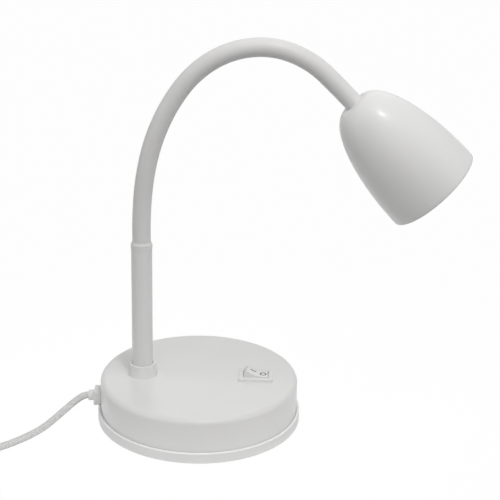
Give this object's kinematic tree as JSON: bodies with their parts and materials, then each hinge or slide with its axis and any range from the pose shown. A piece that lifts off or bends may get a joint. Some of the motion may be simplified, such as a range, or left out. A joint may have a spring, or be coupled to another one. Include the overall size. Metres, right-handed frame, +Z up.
{
  "type": "table lamp",
  "caption": "White table lamp with a round weighted foot, rocker switch, bendable gooseneck, bell shade, spot bulb and a mains cord with a plug.",
  "frame": {"origin": "on the table under the middle of the round foot", "axes": "+Z up, +X from the stem towards the switch and the shade, +Y away from the viewer"},
  "size_m": [0.4097, 0.1948, 0.2843],
  "materials": {
    "white_paint": "satin",
    "neck_skin": "matt",
    "white_plastic": "satin",
    "switch_plastic": "semi-gloss",
    "cord_skin": "satin",
    "pad_foam": "matt",
    "weight_steel": "rough",
    "zinc_steel": "zinc plated",
    "core_steel": "oiled",
    "wire_skin": "satin",
    "terminal_plastic": "matt",
    "brass_pins": "bright",
    "ceramic": "glazed",
    "bulb_shell": "gloss",
    "bulb_glass": "frosted",
    "pin_sleeve": "satin",
    "nickel_pins": "nickel plated"
  },
  "bodies": {
    "foot": {"ballast_plate": "weight_steel", "base_cover": "white_paint", "base_screws": "zinc_steel", "base_tray": "white_plastic", "clamp_screws": "zinc_steel", "cord_clamp": "white_plastic", "cord_coil": "cord_skin", "cord_gland": "white_plastic", "cord_lead": "cord_skin", "cord_tail": "cord_skin", "foot_pad": "pad_foam", "inner_cord": "cord_skin", "neck_collar": "white_plastic", "neck_core_01": "core_steel", "neck_nut": "zinc_steel", "neck_sleeve_01": "neck_skin", "neck_washer": "zinc_steel", "plug_body": "white_plastic", "plug_pin_sleeves": "pin_sleeve", "plug_pins": "nickel_pins", "stem_bush": "zinc_steel", "stem_cord": "cord_skin", "stem_tube": "white_paint", "switch_blades": "brass_pins", "switch_housing": "switch_plastic", "switch_leads": "wire_skin", "terminal_block": "terminal_plastic", "terminal_screws": "brass_pins"},
    "neck_1": {"neck_sleeve_02": "neck_skin", "neck_core_02": "core_steel"},
    "neck_2": {"neck_sleeve_03": "neck_skin", "neck_core_03": "core_steel"},
    "neck_3": {"neck_sleeve_04": "neck_skin", "neck_core_04": "core_steel"},
    "neck_4": {"neck_sleeve_05": "neck_skin", "neck_core_05": "core_steel"},
    "neck_5": {"neck_sleeve_06": "neck_skin", "neck_core_06": "core_steel"},
    "neck_6": {"neck_sleeve_07": "neck_skin", "neck_core_07": "core_steel"},
    "neck_7": {"neck_sleeve_08": "neck_skin", "neck_core_08": "core_steel"},
    "neck_8": {"neck_sleeve_09": "neck_skin", "neck_core_09": "core_steel"},
    "head": {"neck_sleeve_10": "neck_skin", "neck_core_10": "core_steel", "shade": "white_paint", "head_nipple": "zinc_steel", "head_washer": "zinc_steel", "head_nuts": "zinc_steel", "holder_bracket": "zinc_steel", "holder_screws": "zinc_steel", "lampholder": "ceramic", "lamp_leads": "wire_skin", "bulb_body": "bulb_shell", "bulb_lens": "bulb_glass", "bulb_pins": "nickel_pins"},
    "rocker": {"switch_rocker": "switch_plastic"}
  },
  "joints": [
    {"name": "neck_curl_1", "type": "hinge", "parent": "foot", "child": "neck_1", "pos_m": [-0.0415, 0, 0.1425], "axis": [0, 1, 0], "range_deg": [-25, 12]},
    {"name": "neck_sway_2", "type": "hinge", "parent": "neck_1", "child": "neck_2", "pos_m": [-0.04028, 0, 0.17036], "axis": [0.9962, 0, -0.0872], "range_deg": [-25, 25]},
    {"name": "neck_curl_3", "type": "hinge", "parent": "neck_2", "child": "neck_3", "pos_m": [-0.03592, 0, 0.1979], "axis": [0, 1, 0], "range_deg": [-25, 12]},
    {"name": "neck_sway_4", "type": "hinge", "parent": "neck_3", "child": "neck_4", "pos_m": [-0.02708, 0, 0.22432], "axis": [0.9135, 0, -0.4067], "range_deg": [-25, 25]},
    {"name": "neck_curl_5", "type": "hinge", "parent": "neck_4", "child": "neck_5", "pos_m": [-0.01316, 0, 0.24843], "axis": [0, 1, 0], "range_deg": [-25, 12]},
    {"name": "neck_sway_6", "type": "hinge", "parent": "neck_5", "child": "neck_6", "pos_m": [0.00697, 0, 0.26753], "axis": [0.5446, 0, -0.8387], "range_deg": [-25, 25]},
    {"name": "neck_curl_7", "type": "hinge", "parent": "neck_6", "child": "neck_7", "pos_m": [0.03289, 0, 0.27723], "axis": [0, 1, 0], "range_deg": [-25, 12]},
    {"name": "neck_sway_8", "type": "hinge", "parent": "neck_7", "child": "neck_8", "pos_m": [0.06041, 0, 0.27458], "axis": [-0.3256, 0, -0.9455], "range_deg": [-25, 25]},
    {"name": "neck_curl_9", "type": "hinge", "parent": "neck_8", "child": "head", "pos_m": [0.08415, 0, 0.26031], "axis": [0, 1, 0], "range_deg": [-25, 12]},
    {"name": "rocker_tilt", "type": "hinge", "parent": "foot", "child": "rocker", "pos_m": [0.0415, 0, 0.0325], "axis": [0, -1, 0], "range_deg": [0, 30]}
  ]
}
